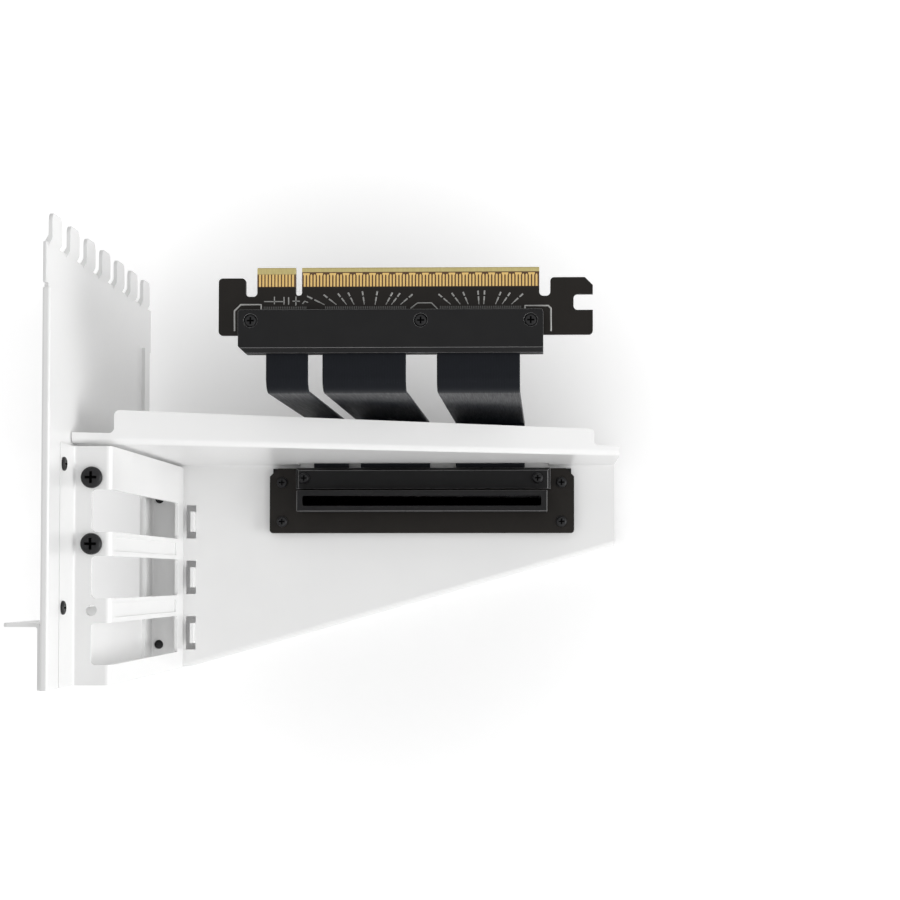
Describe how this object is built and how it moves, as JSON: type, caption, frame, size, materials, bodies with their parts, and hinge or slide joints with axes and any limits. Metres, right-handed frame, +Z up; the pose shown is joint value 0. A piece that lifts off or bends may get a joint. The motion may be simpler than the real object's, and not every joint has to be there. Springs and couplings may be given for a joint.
{
  "type": "vertical gpu mount",
  "caption": "White folded steel bracket that holds a graphics card upright in a computer case, with slot tongues, a screw rail, a shelf and a ribbon riser from plug to socket.",
  "frame": {"origin": "middle of the line of case screw holes, on the seating face of the screw tab", "axes": "+X into the case along the card, +Y towards the mainboard and the tongues, +Z up the stack of slots"},
  "size_m": [0.1829, 0.1399, 0.1489],
  "materials": {
    "white_steel": "satin powder coat",
    "black_screw": "black zinc",
    "circuit_board": "black solder mask",
    "gold": "gold plating",
    "black_plastic": "fine matte",
    "ribbon": "smooth jacket"
  },
  "bodies": {
    "root": {"rear_plate": "white_steel", "case_tab": "white_steel", "card_carrier": "white_steel", "riser_tray": "white_steel", "plug_board": "circuit_board", "plug_contacts": "gold", "plug_cover_top": "black_plastic", "plug_cover_bottom": "black_plastic", "ribbon_left": "ribbon", "ribbon_middle": "ribbon", "ribbon_right": "ribbon", "socket_base": "black_plastic", "socket_board": "circuit_board", "socket_body": "black_plastic", "socket_contacts": "gold", "ribbon_clamp": "black_plastic", "card_screws": "black_screw", "carrier_screws": "black_screw", "foot_screws": "black_screw", "plug_screws": "black_screw", "socket_screws": "black_screw", "clamp_screws": "black_screw"}
  },
  "joints": []
}
